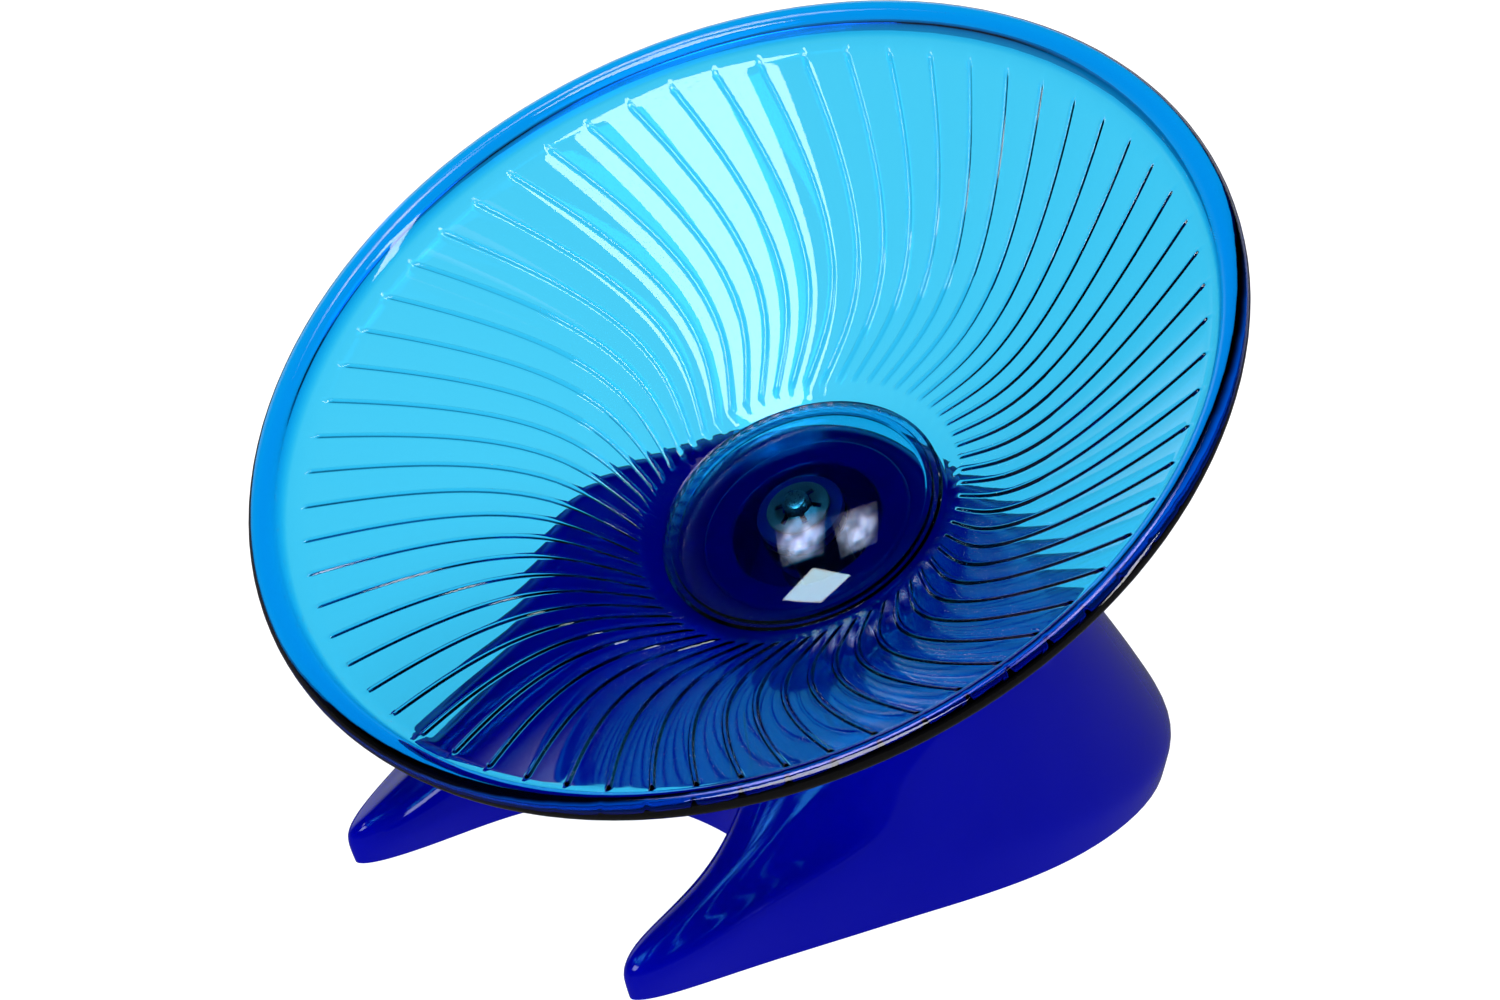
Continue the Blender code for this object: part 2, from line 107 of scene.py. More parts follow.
def add_node(tree: NodeTree, kind: str, settings: dict | None = None, links: dict | None = None) -> Node:
    """Add a node with its settings and links.

    Args:
        tree: the node tree.
        kind: the node's type name.
        settings: property names with their values.
        links: input names or numbers with either the socket that feeds them or a fixed value.

    Returns:
        The new node.
    """
    node = tree.nodes.new(kind)
    for name, value in (settings or {}).items():
        setattr(node, name, value)
    feed(tree, node, links or {})
    return node


def mapped(tree: NodeTree, value: NodeSocket, span: Point, results: tuple,
           smooth: bool = False) -> NodeSocket:
    """Map a value from one span to another, held at both ends.

    Args:
        tree: the node tree.
        value: the socket to map.
        span: the values where the change starts and stops.
        results: what comes out at these two, each a number or a socket.
        smooth: True where the change eases in and out.

    Returns:
        The socket of the mapped value.
    """
    ends = {"From Min": span[0], "From Max": span[1], "To Min": results[0], "To Max": results[1]}
    shape = {"interpolation_type": "SMOOTHSTEP" if smooth else "LINEAR"}
    return add_node(tree, "ShaderNodeMapRange", shape, {"Value": value, **ends}).outputs["Result"]


def product(tree: NodeTree, first: NodeSocket, second: NodeSocket) -> NodeSocket:
    """Return two values multiplied."""
    return add_node(tree, "ShaderNodeMath", {"operation": "MULTIPLY"}, {0: first, 1: second}).outputs["Value"]


def add_ring(bm: bmesh.types.BMesh, radius: float, height: float, steps: int) -> Ring:
    """Add a circle of vertices about local Z and return it."""
    angles = [math.tau * k / steps for k in range(steps)]
    return [bm.verts.new((radius * math.cos(a), radius * math.sin(a), height)) for a in angles]


def join_rows(bm: bmesh.types.BMesh, first: Ring, second: Ring) -> None:
    """Join two open rows of as many vertices with faces."""
    for k in range(len(first) - 1):
        bm.faces.new((first[k], first[k + 1], second[k + 1], second[k]))


def join_rings(bm: bmesh.types.BMesh, first: Ring, second: Ring) -> None:
    """Join two closed rings of as many vertices with faces."""
    join_rows(bm, [*first, first[0]], [*second, second[0]])


def close_on_axis(bm: bmesh.types.BMesh, ring: Ring, height: float) -> None:
    """Close a ring with a fan of triangles to a point on the axis."""
    tip = bm.verts.new((0, 0, height))
    for k, vert in enumerate(ring):
        bm.faces.new((vert, ring[(k + 1) % len(ring)], tip))


def arc(centre: Point, half_width: float, half_height: float, start: float, stop: float,
        steps: int) -> list[Point]:
    """Return points on an ellipse in the (radius, height) plane.

    Args:
        centre: the ellipse's centre.
        half_width: its half axis along the radius.
        half_height: its half axis along the height.
        start: the first point's angle in degrees.
        stop: the last point's angle in degrees.
        steps: how many chords the arc has.

    Returns:
        The points, both ends included.
    """
    angles = [math.radians(start + (stop - start) * k / steps) for k in range(steps + 1)]
    return [(centre[0] + half_width * math.cos(a), centre[1] + half_height * math.sin(a)) for a in angles]


def raw_mesh(name: str, bm: bmesh.types.BMesh) -> Mesh:
    """Turn a bmesh into a mesh as it is, and free it."""
    mesh = bpy.data.meshes.new(name)
    bm.to_mesh(mesh)
    bm.free()
    return mesh


def plain_mesh(name: str, bm: bmesh.types.BMesh, smooth_below: float = 40.0) -> Mesh:
    """Turn a bmesh into a mesh with its doubles merged, its faces pointing out and smooth shading.

    Args:
        name: the mesh's name.
        bm: the bmesh, which is freed.
        smooth_below: edges sharper than this angle in degrees stay crisp.

    Returns:
        The mesh.
    """
    bmesh.ops.remove_doubles(bm, verts=bm.verts, dist=0.0004 * MM)
    bmesh.ops.recalc_face_normals(bm, faces=bm.faces)
    mesh = raw_mesh(name, bm)
    mesh.shade_smooth()
    mesh.set_sharp_from_angle(angle=math.radians(smooth_below))
    return mesh


def turned_mesh(name: str, profile: Sequence[Point], steps: int, bored: bool) -> Mesh:
    """Turn a profile of (radius, height) points in millimetres about local Z.

    Args:
        name: the mesh's name.
        profile: the points; a solid piece's profile starts and ends on the axis.
        steps: how many columns go round.
        bored: True where the profile goes round a bore and closes on itself.

    Returns:
        The mesh.
    """
    bm = bmesh.new()
    inside = profile if bored else profile[1:-1]
    rings = [add_ring(bm, radius * MM, height * MM, steps) for radius, height in inside]
    for near, far in zip(rings, rings[1:]):
        join_rings(bm, near, far)
    if bored:
        join_rings(bm, rings[-1], rings[0])
    else:
        close_on_axis(bm, rings[0], profile[0][1] * MM)
        close_on_axis(bm, rings[-1], profile[-1][1] * MM)
    return plain_mesh(name, bm)


def shown(name: str, mesh: Mesh) -> Object:
    """Return a new object of the scene that shows a mesh."""
    item = bpy.data.objects.new(name, mesh)
    bpy.context.collection.objects.link(item)
    return item


def settled(item: Object) -> Mesh:
    """Return a plain mesh of what an object's modifiers make, and remove the object.

    Args:
        item: the object with live modifiers.

    Returns:
        The evaluated mesh.
    """
    bpy.context.view_layer.update()
    evaluated = item.evaluated_get(bpy.context.evaluated_depsgraph_get())
    mesh = bpy.data.meshes.new_from_object(evaluated)
    bpy.data.objects.remove(item, do_unlink=True)
    return mesh


@dataclass(frozen=True)
class HubPlace:
    """Where the axle stands and how far it leans towards -Y."""

    centre: Vector
    tilt: float

    @classmethod
    def of_joint(cls, joint: dict) -> "HubPlace":
        """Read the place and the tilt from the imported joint."""
        axis = Vector(joint["axis"])
        return cls(Vector(joint["pos_m"]), math.atan2(-axis.y, axis.z))

    @property
    def matrix(self) -> Matrix:
        """The move from the hub's own axes to the row frame."""
        return Matrix.Translation(self.centre) @ Matrix.Rotation(self.tilt, 4, "X")


# Finishes


def new_material(name: str) -> tuple[Material, NodeTree, Node]:
    """Return a new material with its node tree and its surface shader."""
    material = bpy.data.materials.new(name)
    material.use_nodes = True
    return material, material.node_tree, material.node_tree.nodes["Principled BSDF"]


def noise(tree: NodeTree, width: float, detail: float) -> NodeSocket:
    """Return noise in the piece's own axes, with patches about this many millimetres wide."""
    place = add_node(tree, "ShaderNodeTexCoord")
    clouds = add_node(tree, "ShaderNodeTexNoise", None,
                      {"Vector": place.outputs["Object"], "Scale": 1 / (width * MM), "Detail": detail})
    return clouds.outputs["Fac"]


def relief(tree: NodeTree, pattern: NodeSocket, depth: float) -> NodeSocket:
    """Return a surface direction that a pattern bends as if it were this many millimetres deep."""
    return add_node(tree, "ShaderNodeBump", None,
                    {"Height": pattern, "Strength": 1.0, "Distance": depth * MM}).outputs["Normal"]


def blend(tree: NodeTree, share: NodeSocket, first: tuple, second: tuple) -> NodeSocket:
    """Return a colour between two, by a share."""
    return add_node(tree, "ShaderNodeMix", {"data_type": "RGBA"},
                    {"Factor": share, "A": first, "B": second}).outputs["Result"]


@dataclass(frozen=True)
class ClearPolystyrene:
    """Tinted clear polystyrene, injection moulded in a polished tool.

    White light comes through a wall as sky blue and through the thick rim as a deeper blue, because
    the dye is in the plastic. It bends at every edge, so the ribs show as darker lines, and the
    polished face throws small bright highlights, which faint flow lines bend.
    """

    wall_tint: str = "#40CCF8"
    wall_path: float = 2.05
    roughness: float = 0.03
    ior: float = 1.55
    flow_width: float = 26.0
    flow_height: float = 0.010

    def absorption(self) -> tuple[tuple[float, float, float, float], float]:
        """Return the dye's colour and its density per metre, from the tint of one wall."""
        lost = [-math.log(share) / (self.wall_path * MM) for share in linear(self.wall_tint)[:3]]
        density = max(lost)
        red, green, blue = (1 - loss / density for loss in lost)
        return (red, green, blue, 1.0), density

    def build(self, name: str) -> Material:
        """Return the material."""
        material, tree, shader = new_material(name)
        flow = relief(tree, noise(tree, self.flow_width, 1.0), self.flow_height)
        feed(tree, shader, {"Base Color": WHITE, "Roughness": self.roughness, "IOR": self.ior,
                            "Transmission Weight": 1.0, "Normal": flow})
        dye, density = self.absorption()
        body = add_node(tree, "ShaderNodeVolumeAbsorption", None, {"Color": dye, "Density": density})
        feed(tree, tree.nodes["Material Output"], {"Volume": body.outputs["Volume"]})
        return material


@dataclass(frozen=True)
class GlossyStyrene:
    """Opaque high-impact polystyrene, injection moulded in a polished tool.

    A deep even blue under a clear gloss, with a faint waviness where the wall shrank as it cooled
    and small differences in gloss from handling.
    """

    colour: str = "#0004B8"
    shade: str = "#0003AC"
    roughness: float = 0.06
    worn_roughness: float = 0.10
    ior: float = 1.5
    gloss_tint: str = "#C8D2FF"
    gloss_level: float = 0.42
    sink_width: float = 34.0
    sink_height: float = 0.05
    handling_width: float = 9.0
    handling_span: Point = (0.35, 0.7)

    def build(self, name: str) -> Material:
        """Return the material."""
        material, tree, shader = new_material(name)
        sink = noise(tree, self.sink_width, 1.0)
        handling = noise(tree, self.handling_width, 3.0)
        gloss = mapped(tree, handling, self.handling_span, (self.roughness, self.worn_roughness))
        colour = blend(tree, sink, linear(self.colour), linear(self.shade))
        feed(tree, shader, {"Base Color": colour, "Roughness": gloss,
                            "Normal": relief(tree, sink, self.sink_height), "IOR": self.ior,
                            "Specular IOR Level": self.gloss_level, "Specular Tint": linear(self.gloss_tint)})
        return material


@dataclass(frozen=True)
class BrightSteel:
    """Bright drawn steel, turned at its ends, or blanked spring steel.

    A grey metal whose fine marks from the drawing die or the tool spread its highlights a little.
    """

    colour: str = "#C9CCD2"
    shade: str = "#A9ADB4"
    roughness: float = 0.22
    dull_share: float = 1.6
    mark_width: float = 0.35
    mark_height: float = 0.004

    def build(self, name: str) -> Material:
        """Return the material."""
        material, tree, shader = new_material(name)
        marks = noise(tree, self.mark_width, 2.0)
        gloss = mapped(tree, marks, WHOLE, (self.roughness, self.roughness * self.dull_share))
        colour = blend(tree, marks, linear(self.colour), linear(self.shade))
        feed(tree, shader, {"Base Color": colour, "Roughness": gloss, "Metallic": 1.0,
                            "Normal": relief(tree, marks, self.mark_height)})
        return material


@dataclass(frozen=True)
class TurnedNylon:
    """Nylon 6, turned from rod: milky white as it comes, or dyed.

    It is slightly waxy: light goes a little way in, and its gloss is soft.
    """

    colour: str = "#E6E4DC"
    shade: str = "#D6D3C8"
    roughness: float = 0.38
    dull_share: float = 1.4
    ior: float = 1.53
    cloud_width: float = 1.6
    milkiness: float = 0.25
    depth: float = 0.8

    def build(self, name: str) -> Material:
        """Return the material."""
        material, tree, shader = new_material(name)
        cloud = noise(tree, self.cloud_width, 2.0)
        gloss = mapped(tree, cloud, WHOLE, (self.roughness, self.roughness * self.dull_share))
        colour = blend(tree, cloud, linear(self.colour), linear(self.shade))
        feed(tree, shader, {"Base Color": colour, "Roughness": gloss, "IOR": self.ior,
                            "Subsurface Weight": self.milkiness, "Subsurface Scale": self.depth * MM})
        return material


# Radial repeat


@dataclass(frozen=True)
class RoundTheAxle:
    """A Geometry Nodes tree that repeats one sector of a turned piece round the axle."""

    count: int

    def tree(self) -> bpy.types.NodeTree:
        """Return the tree: a point for each sector, an instance on each, all made real."""
        tree = bpy.data.node_groups.new("sectors_round_the_axle", "GeometryNodeTree")
        face = tree.interface
        for name, kind in (("Sector", "Geometry"), ("Sector Count", "Int"), ("Sector Angle", "Float"),
                           ("Finish", "Material")):
            face.new_socket(name, in_out="INPUT", socket_type=f"NodeSocket{kind}")
        face.new_socket("Piece", in_out="OUTPUT", socket_type="NodeSocketGeometry")
        given = add_node(tree, "NodeGroupInput")
        places = add_node(tree, "GeometryNodePoints", None, {"Count": given.outputs["Sector Count"]})
        number = add_node(tree, "GeometryNodeInputIndex")
        angle = product(tree, number.outputs["Index"], given.outputs["Sector Angle"])
        turn = add_node(tree, "ShaderNodeCombineXYZ", None, {"Z": angle})
        copies = add_node(tree, "GeometryNodeInstanceOnPoints", None,
                          {"Points": places.outputs[0], "Instance": given.outputs["Sector"],
                           "Rotation": turn.outputs["Vector"]})
        real = add_node(tree, "GeometryNodeRealizeInstances", None, {"Geometry": copies.outputs["Instances"]})
        dressed = add_node(tree, "GeometryNodeSetMaterial", None,
                           {"Geometry": real.outputs["Geometry"], "Material": given.outputs["Finish"]})
        add_node(tree, "NodeGroupOutput", None, {"Piece": dressed.outputs["Geometry"]})
        return tree

    def repeated(self, name: str, sector: Mesh, finish: Material) -> Mesh:
        """Return the whole piece as one plain closed mesh.

        Args:
            name: the piece's name.
            sector: one sector's mesh.
            finish: the piece's material.

        Returns:
            The mesh of all sectors, joined.
        """
        item = shown(name, sector)
        tree = self.tree()
        change = item.modifiers.new("sectors", "NODES")
        change.node_group = tree
        sockets = {s.name: s.identifier for s in tree.interface.items_tree if s.in_out == "INPUT"}
        change[sockets["Sector Count"]] = self.count
        change[sockets["Sector Angle"]] = math.tau / self.count
        change[sockets["Finish"]] = finish
        real = settled(item)
        bm = bmesh.new()
        bm.from_mesh(real)
        bmesh.ops.remove_doubles(bm, verts=bm.verts, dist=0.002 * MM)
        return plain_mesh(name, bm)


# The pieces


@dataclass(frozen=True)
class Piece:
    """One finished piece with its body, its slot and the solid that it stands for."""

    name: str
    body: Body
    slot: Slot
    node: str

    def place(self, mesh: Mesh, finish: Material, move: Matrix) -> Object:
        """Show the mesh in its place, dress it and hand it to the frame.

        Args:
            mesh: the piece's mesh in its own axes.
            finish: its material.
            move: the move to the row frame.

        Returns:
            The finished object, which sits at the origin.
        """
        mesh.transform(move)
        mesh.materials.clear()
        mesh.materials.append(finish)
        mesh.name = self.name
        item = shown(self.name, mesh)
        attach(item, self.body.value)
        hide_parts(self.node)
        LOG.info("%s: %d faces on %s", self.name, len(mesh.polygons), self.body.value)
        return item


@dataclass(frozen=True)
class SaucerDish:
    """The ribbed dish with its rim bead, hub floor, spigot and sleeve, in one clear moulding."""

    diameter: float = 190.5
    slope: float = 26.85
    floor_radius: float = 27.2
    wall: float = 1.8
    rim_width: float = 5.4
    rim_thickness: float = 4.4
    rim_join: float = 160.0
    rim_steps: int = 22
    rib_count: int = 64
    rib_inner: float = 30.4
    rib_outer: float = 86.3
    rib_width: float = 1.1
    rib_height: float = 0.46
    rib_taper: float = 1.3
    rib_steps: int = 22
    first_angle: float = 6.1
    bow_points: tuple[Point, ...] = ((0.352, -0.0073), (0.479, -0.081), (0.562, -0.178), (1.0, 0.0034))
    bow_steps: int = 60
    half_section: tuple[Point, ...] = ((1.6, 0.0), (1.15, 0.08), (0.92, 0.40), (0.66, 0.78), (0.34, 0.96))
    rib_end: tuple[Point, ...] = ((0.0, 0.0), (0.25, 0.5), (0.6, 0.86), (1.0, 1.0))
    pitch_share: float = 0.8
    ledge_radius: float = 88.6
    under_rings: int = 9
    floor_rings: tuple[float, ...] = (8.6, 14.0, 20.0)
    edge: float = 0.3
    bore: float = 5.0
    sleeve_radius: float = 8.0
    sleeve_length: float = 11.9
    spigot_radius: float = 25.0
    spigot_wall: float = 1.5
    spigot_height: float = 0.8

    def cone_height(self, radius: float) -> float:
        """Return the running surface's height above the hub floor."""
        return (radius - self.floor_radius) * math.tan(math.radians(self.slope))

    def bow_table(self) -> list[Point]:
        """Return (radius, angle) along a rib's bowed line, from its inner end."""
        p0, p1, p2, p3 = (Vector(point) for point in self.bow_points)
        table = []
        for k in range(self.bow_steps + 1):
            share = k / self.bow_steps
            rest = 1 - share
            point = rest ** 3 * p0 + 3 * rest ** 2 * share * p1 + 3 * rest * share ** 2 * p2 + share ** 3 * p3
            table.append((point.length, math.atan2(point.y, point.x)))
        first, last = table[0][0], table[-1][0]
        run = self.rib_outer - self.rib_inner
        return [(self.rib_inner + run * (r - first) / (last - first), angle) for r, angle in table]

    def bow(self, radius: float, table: Sequence[Point]) -> float:
        """Return how far the ribs' lines have turned at a radius."""
        if radius <= table[0][0]:
            return table[0][1]
        for (near, a), (far, b) in zip(table, table[1:]):
            if radius <= far:
                return a + (b - a) * (radius - near) / (far - near)
        return table[-1][1]

    def rows(self) -> list[tuple[float, float, float]]:
        """Return (radius, height, rib share) down the whole profile, from the bore round to the bore."""
        inner = self.spigot_radius - self.spigot_wall
        rise = self.wall / math.cos(math.radians(self.slope))
        rim_centre = self.diameter / 2 - self.rim_width / 2
        corner = self.floor_radius + (rise - self.wall) / math.tan(math.radians(self.slope))
        e, bore, spigot, top = self.edge, self.bore, self.spigot_radius, self.spigot_height
        floor, sleeve, low = self.floor_radius, self.sleeve_radius, self.sleeve_length
        hub = [(bore, -e), (bore + e, 0.0), *((ring, 0.0) for ring in self.floor_rings), (inner - e, 0.0),
               (inner, 0.2), (inner, top - e), (inner + e, top), (spigot - e, top), (spigot, top - e),
               (spigot, 0.0), (floor - 0.5, 0.0), (floor - 0.1, 0.04),
               (floor + 0.4, self.cone_height(floor + 0.4) + 0.03)]
        rows = [(radius, height, 0.0) for radius, height in hub]
        ends = [(self.rib_inner + share * self.rib_taper, risen) for share, risen in self.rib_end]
        tail = [(self.rib_outer - share * self.rib_taper, risen) for share, risen in reversed(self.rib_end)]
        first, last = ends[-1][0], tail[0][0]
        middle = [(first + (last - first) * k / self.rib_steps, 1.0) for k in range(1, self.rib_steps)]
        rows += [(radius, self.cone_height(radius), share) for radius, share in ends + middle + tail]
        edge = arc((rim_centre, self.cone_height(rim_centre)), self.rim_width / 2, self.rim_thickness / 2,
                   self.rim_join, -90.0, self.rim_steps)
        rows.append((self.ledge_radius, self.cone_height(self.ledge_radius), 0.0))
        rows += [(radius, height, 0.0) for radius, height in edge]
        for k in range(1, self.under_rings):
            radius = rim_centre + (corner - rim_centre) * k / self.under_rings
            if radius < rim_centre - self.rim_width / 2:
                rows.append((radius, self.cone_height(radius) - rise, 0.0))
        under = -self.wall
        base = [(corner + 0.4, under + 0.2), (corner, under), (sleeve + 4, under), (sleeve + 0.8, under),
                (sleeve + 0.2, under - 0.25), (sleeve, under - 0.9), (sleeve, -low + e), (sleeve - e, -low),
                (bore + e, -low), (bore, -low + e)]
        return rows + [(radius, height, 0.0) for radius, height in base]

    def sector_mesh(self) -> Mesh:
        """Return one sector: a rib's width of the profile, with the rib on its middle line."""
        table = self.bow_table()
        half_pitch = math.pi / self.rib_count
        section = [(-offset, risen) for offset, risen in self.half_section]
        section += [(0.0, 1.0), *reversed(self.half_section)]
        foot = self.half_section[0][0]
        bm = bmesh.new()
        strips = []
        for radius, height, share in self.rows():
            middle = math.radians(self.first_angle) + self.bow(radius, table)
            fit = min(1.0, self.pitch_share * half_pitch * radius / (foot * self.rib_width / 2))
            columns = [(-half_pitch, 0.0)]
            columns += [(offset * fit * self.rib_width / 2 / radius, risen) for offset, risen in section]
            columns.append((half_pitch, 0.0))
            strip = []
            for turn, risen in columns:
                across, along = radius * math.cos(middle + turn), radius * math.sin(middle + turn)
                up = height + self.rib_height * share * risen
                strip.append(bm.verts.new((across * MM, along * MM, up * MM)))
            strips.append(strip)
        for near, far in zip(strips, strips[1:] + strips[:1]):
            join_rows(bm, near, far)
        return raw_mesh("saucer_sector", bm)

    def build(self, hub: HubPlace, finish: Material) -> Object:
        """Return the finished dish."""
        piece = Piece("saucer_dish_clear", Body.SAUCER, Slot.CLEAR_BLUE, "saucer_dish")
        mesh = RoundTheAxle(self.rib_count).repeated(piece.name, self.sector_mesh(), finish)
        return piece.place(mesh, finish, hub.matrix)


@dataclass(frozen=True)
class DomeCap:
    """The low clear dome that closes the hub."""

    radius: float = 26.9
    height: float = 8.3
    wall: float = 1.0
    shoulder_wall: float = 1.25
    foot: float = 0.4
    foot_angle: float = 20.0
    gap: float = 0.3
    edge: float = 0.15
    steps: int = 160
    arc_steps: int = 26

    def outer_arc(self) -> tuple[float, float, float]:
        """Return the outer ellipse's half width, half height and middle height."""
        spring = self.gap + self.foot
        half_width = self.radius / math.cos(math.radians(self.foot_angle))
        half_height = (self.height - spring) / (1 - math.sin(math.radians(self.foot_angle)))
        return half_width, half_height, self.height - half_height

    def build(self, hub: HubPlace, finish: Material) -> Object:
        """Return the finished cap."""
        half_width, half_height, middle = self.outer_arc()
        low = self.gap + self.edge
        inner_width, inner_height = half_width - self.shoulder_wall, half_height - self.wall
        inner_angle = math.degrees(math.asin((low - middle) / inner_height))
        outside = arc((0, middle), half_width, half_height, self.foot_angle, 90, self.arc_steps)
        inside = arc((0, middle), inner_width, inner_height, 90, inner_angle, self.arc_steps)
        profile = inside + [(inside[-1][0] + self.edge, self.gap), (self.radius - self.edge, self.gap),
                            (self.radius, low)] + outside
        piece = Piece("dome_cap_clear", Body.SAUCER, Slot.CLEAR_BLUE, "dome_cap")
        return piece.place(turned_mesh(piece.name, profile, self.steps, bored=False), finish, hub.matrix)


@dataclass(frozen=True)
class AxleParts:
    """The steel pin, its push-on clip, the thrust washer and the flanged bush."""

    pin_radius: float = 2.5
    pin_top: float = 4.9
    pin_bottom: float = -28.7
    chamfer: float = 0.5
    bore: float = 2.8
    bush_radius: float = 4.7
    flange_radius: float = 8.2
    flange_top: float = 1.8
    flange_under: float = 0.3
    bush_bottom: float = -12.4
    washer_radius: float = 7.2
    washer_top: float = -12.7
    washer_bottom: float = -13.7
    clip_radius: float = 6.0
    clip_bottom: float = 2.1
    clip_thickness: float = 0.6
    tooth_count: int = 6
    tooth_lift: float = 0.55
    slot_width: float = 1.0
    slot_reach: float = 1.7
    tooth_lifts: tuple[Point, ...] = ((0.0, 1.0), (0.5, 0.45), (1.0, 0.0))
    tooth_steps: int = 6
    edge: float = 0.15
    steps: int = 96

    def pin_mesh(self) -> Mesh:
        """Return the pin, with a slightly domed top and both ends chamfered."""
        low, high, cut, side = self.pin_bottom, self.pin_top, self.chamfer, self.pin_radius
        profile = [(0, low), (side - cut, low), (side - 0.05, low + cut * 0.9), (side, low + cut + 0.1),
                   (side, high - cut - 0.1), (side - 0.05, high - cut * 0.9), (side - cut * 0.9, high - 0.12),
                   (side - cut - 0.2, high - 0.07), (0.9, high - 0.02), (0, high)]
        return turned_mesh("axle_pin_steel", profile, self.steps, bored=False)

    def bush_mesh(self) -> Mesh:
        """Return the flanged bush with its edges broken."""
        e, under, top, low = self.edge, self.flange_under, self.flange_top, self.bush_bottom
        bore, bush, flange = self.bore, self.bush_radius, self.flange_radius
        profile = [(bore + 2 * e, top), (flange - 2 * e, top), (flange - 0.6 * e, top - 0.6 * e),
                   (flange, top - 2 * e), (flange, under + e), (flange - e, under), (bush, under),
                   (bush, low + e), (bush - e, low), (bore + e, low), (bore, low + e), (bore, top - 2 * e)]
        return turned_mesh("hub_bush_nylon", profile, self.steps, bored=True)

    def washer_mesh(self) -> Mesh:
        """Return the thrust washer with its edges broken."""
        e, top, low = self.edge, self.washer_top, self.washer_bottom
        bore, side = self.bore, self.washer_radius
        profile = [(bore, top - e), (bore + e, top), (side - e, top), (side, top - e), (side, low + e),
                   (side - e, low), (bore + e, low), (bore, low + e)]
        return turned_mesh("thrust_washer_nylon", profile, self.steps, bored=True)

    def tooth_mesh(self) -> Mesh:
        """Return one sector of the clip: half a slot, a tooth that lifts towards the pin, half a slot."""
        pitch = math.pi / self.tooth_count
        slot_radius = self.bore + self.slot_reach
        bm = bmesh.new()
        layers = []
        for z in (self.clip_bottom, self.clip_bottom + self.clip_thickness):
            lanes = []
            for share, lift in self.tooth_lifts:
                radius = self.bore + share * self.slot_reach
                edge = pitch - self.slot_width / 2 / radius
                turns = [-edge + 2 * edge * k / self.tooth_steps for k in range(self.tooth_steps + 1)]
                lanes.append([(radius, turn, z + self.tooth_lift * lift) for turn in turns])
            angles = [-pitch, *turns, pitch]
            for radius in (slot_radius, self.clip_radius - self.edge, self.clip_radius):
                drop = self.edge if radius == self.clip_radius else 0.0
                height = z + (drop if z == self.clip_bottom else -drop)
                lanes.append([(radius, angle, height) for angle in angles])
            layers.append(lanes)
        verts = [[[bm.verts.new((r * math.cos(a) * MM, r * math.sin(a) * MM, h * MM)) for r, a, h in lane]
                  for lane in lanes] for lanes in layers]
        low, high = verts
        for lanes in (low, high):
            for near, far in (*zip(lanes[:2], lanes[1:3]), *zip(lanes[3:5], lanes[4:6])):
                join_rows(bm, near, far)
        walls = [(low[0], high[0]), (low[5], high[5]), (low[3][:2], high[3][:2]), (low[3][-2:], high[3][-2:])]
        walls += [([lane[0] for lane in low[:3]], [lane[0] for lane in high[:3]]),
                  ([lane[-1] for lane in low[:3]], [lane[-1] for lane in high[:3]])]
        for below, above in walls:
            join_rows(bm, below, above)
        return raw_mesh("clip_sector", bm)

    def build(self, hub: HubPlace, steel: Material, spring_steel: Material, nylon: Material,
              blue_nylon: Material) -> list[Object]:
        """Build the four pieces on the hub's axis.

        Args:
            hub: where the axle stands.
            steel: the pin's finish.
            spring_steel: the clip's finish.
            nylon: the washer's finish.
            blue_nylon: the bush's finish.

        Returns:
            The finished pin, clip, washer and bush.
        """
        pin = Piece("axle_pin_steel", Body.STAND, Slot.AXLE_STEEL, "axle_pin")
        clip = Piece("retaining_clip_steel", Body.STAND, Slot.AXLE_STEEL, "retaining_clip")
        washer = Piece("thrust_washer_nylon", Body.STAND, Slot.NYLON, "thrust_washer")
        bush = Piece("hub_bush_nylon", Body.SAUCER, Slot.BLUE_NYLON, "hub_bush")
        clip_mesh = RoundTheAxle(self.tooth_count).repeated(clip.name, self.tooth_mesh(), spring_steel)
        return [pin.place(self.pin_mesh(), steel, hub.matrix),
                clip.place(clip_mesh, spring_steel, hub.matrix),
                washer.place(self.washer_mesh(), nylon, hub.matrix),
                bush.place(self.bush_mesh(), blue_nylon, hub.matrix)]


@dataclass(frozen=True)
class Column:
    """One column of the stand's cage, as shares of the stand's own sizes."""

    side: float
    along: float
    skirt: float
    flank_in: float
    flank_up: float
    top_side: float
    top_along: float
    fall: float


